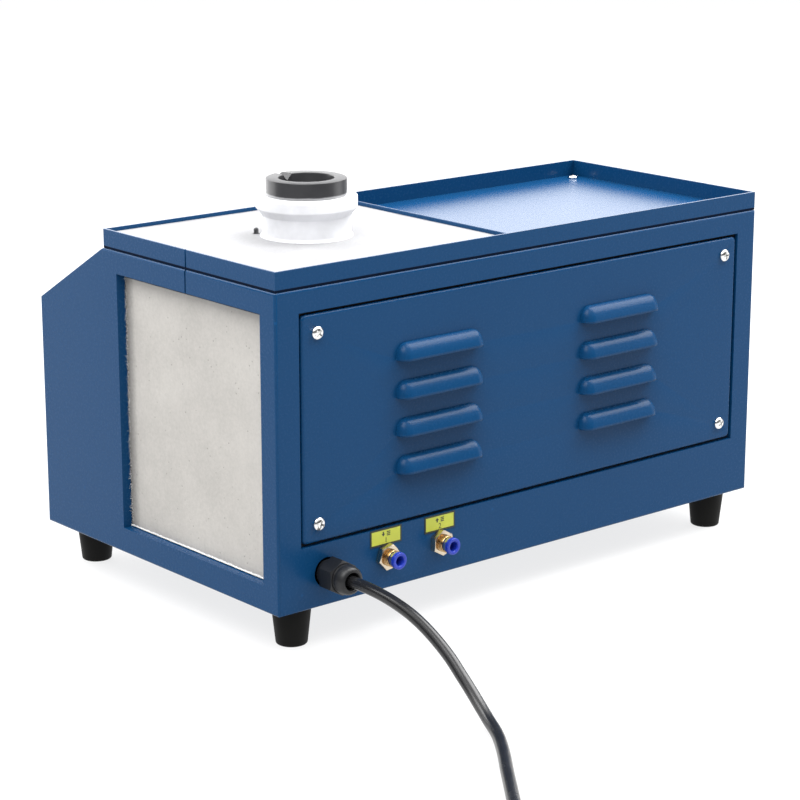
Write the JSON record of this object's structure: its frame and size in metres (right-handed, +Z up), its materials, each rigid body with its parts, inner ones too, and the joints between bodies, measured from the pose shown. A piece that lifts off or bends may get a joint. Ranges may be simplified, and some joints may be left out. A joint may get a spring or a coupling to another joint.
{
  "type": "gold melting furnace",
  "caption": "Bench-top water-cooled induction furnace: folded steel case with louvred cover, white hearth deck, ceramic collar, lift-out crucible, sloped controls and coiled mains cord.",
  "frame": {"origin": "middle of the furnace's footprint without the cord, on the bench under the feet", "axes": "+Z up, +X to the end with the insulating board, +Y out of the wall with the water and mains ports"},
  "size_m": [0.566, 0.7495, 0.2946],
  "materials": {
    "blue_paint": "satin blue powder coat",
    "panel_paint": "matt dark grey",
    "bright_screw": "bright plated steel",
    "zinc_steel": "zinc plated",
    "foot_rubber": "matt black",
    "white_board": "smooth white insulating board",
    "rough_board": "rough grey insulating board",
    "white_ceramic": "smooth white ceramic",
    "graphite": "machined graphite",
    "brass": "turned brass",
    "pale_brass": "nickel plated brass",
    "blue_plastic": "glossy blue",
    "label_tape": "yellow-green label tape",
    "black_nylon": "satin black nylon",
    "cord_rubber": "satin black",
    "black_plastic": "black",
    "red_plastic": "glossy red",
    "green_plastic": "glossy green",
    "smoked_red": "smoked red window",
    "amber_lens": "clear amber",
    "aluminium": "turned aluminium",
    "firebrick": "dry insulating brick",
    "fibre": "ceramic fibre",
    "copper": "drawn copper tube",
    "hose": "polyurethane hose",
    "epoxy": "moulded black",
    "circuit_board": "green lacquer",
    "capacitor_case": "potted blue",
    "ferrite": "coated ferrite ring",
    "white_plastic": "white"
  },
  "bodies": {
    "case": {"case_shell": "blue_paint", "control_panel": "panel_paint", "control_panel_screws": "bright_screw", "rear_cover": "blue_paint", "rear_cover_screws": "bright_screw", "top_tray": "blue_paint", "tray_divider": "blue_paint", "top_tray_screws": "bright_screw", "hearth_board": "white_board", "end_board": "rough_board", "end_board_rails": "zinc_steel", "mouth_collar": "white_ceramic", "foot_front_left": "foot_rubber", "foot_rear_left": "foot_rubber", "foot_front_right": "foot_rubber", "foot_rear_right": "foot_rubber", "foot_screws": "zinc_steel", "inlet_body": "brass", "inlet_nut": "pale_brass", "outlet_body": "brass", "outlet_nut": "pale_brass", "water_labels": "label_tape", "gland_body": "black_nylon", "gland_cap": "black_nylon", "gland_seal": "cord_rubber", "gland_locknut": "black_nylon", "mains_lead": "cord_rubber", "power_cord": "cord_rubber", "cord_coil": "cord_rubber", "cord_tie": "black_nylon", "plug_body": "black_nylon", "plug_pins": "brass", "switch_frame": "black_plastic", "panel_meter": "epoxy", "meter_window": "smoked_red", "potentiometer": "aluminium", "button_bodies": "aluminium", "lamp_bezels": "aluminium", "lamp_lenses": "amber_lens", "furnace_bricks": "firebrick", "furnace_liner": "firebrick", "coil_insulation": "fibre", "induction_coil": "copper", "partition_board": "rough_board", "water_hoses": "hose", "heat_sink": "aluminium", "power_transistors": "epoxy", "inverter_board": "circuit_board", "tank_capacitors": "capacitor_case", "filter_choke": "ferrite", "fan_frame": "epoxy", "terminal_block": "white_plastic"},
    "crucible": {"crucible": "graphite"},
    "inlet_collet": {"inlet_collet": "blue_plastic"},
    "outlet_collet": {"outlet_collet": "blue_plastic"},
    "fan_rotor": {"fan_rotor": "epoxy"},
    "power_rocker": {"power_rocker": "red_plastic"},
    "start_button": {"start_button": "green_plastic"},
    "stop_button": {"stop_button": "red_plastic"},
    "power_knob": {"power_knob": "epoxy"}
  },
  "joints": [
    {"name": "crucible_lift", "type": "slide", "parent": "case", "child": "crucible", "axis": [0, 0, 1], "range_m": [0, 0.12]},
    {"name": "inlet_collet_press", "type": "slide", "parent": "case", "child": "inlet_collet", "axis": [0, -1, 0], "range_m": [0, 0.0015], "stiffness_N_per_m": 600, "springref_m": -0.002},
    {"name": "outlet_collet_press", "type": "slide", "parent": "case", "child": "outlet_collet", "axis": [0, -1, 0], "range_m": [0, 0.0015], "stiffness_N_per_m": 600, "springref_m": -0.002},
    {"name": "fan_spin", "type": "hinge", "parent": "case", "child": "fan_rotor", "pos_m": [-0.1045, 0.08675, 0.069], "axis": [0, 1, 0], "continuous": true},
    {"name": "rocker_tilt", "type": "hinge", "parent": "case", "child": "power_rocker", "pos_m": [-0.165, -0.11189, 0.22206], "axis": [1, 0, 0], "range_deg": [0, 20]},
    {"name": "start_press", "type": "slide", "parent": "case", "child": "start_button", "axis": [0, 0.5057, -0.8627], "range_m": [0, 0.0025], "stiffness_N_per_m": 800, "springref_m": -0.002},
    {"name": "stop_press", "type": "slide", "parent": "case", "child": "stop_button", "axis": [0, 0.5057, -0.8627], "range_m": [0, 0.0025], "stiffness_N_per_m": 800, "springref_m": -0.002},
    {"name": "knob_turn", "type": "hinge", "parent": "case", "child": "power_knob", "pos_m": [-0.008, -0.11063, 0.2199], "axis": [0, -0.5057, 0.8627], "range_deg": [-150, 150]}
  ]
}
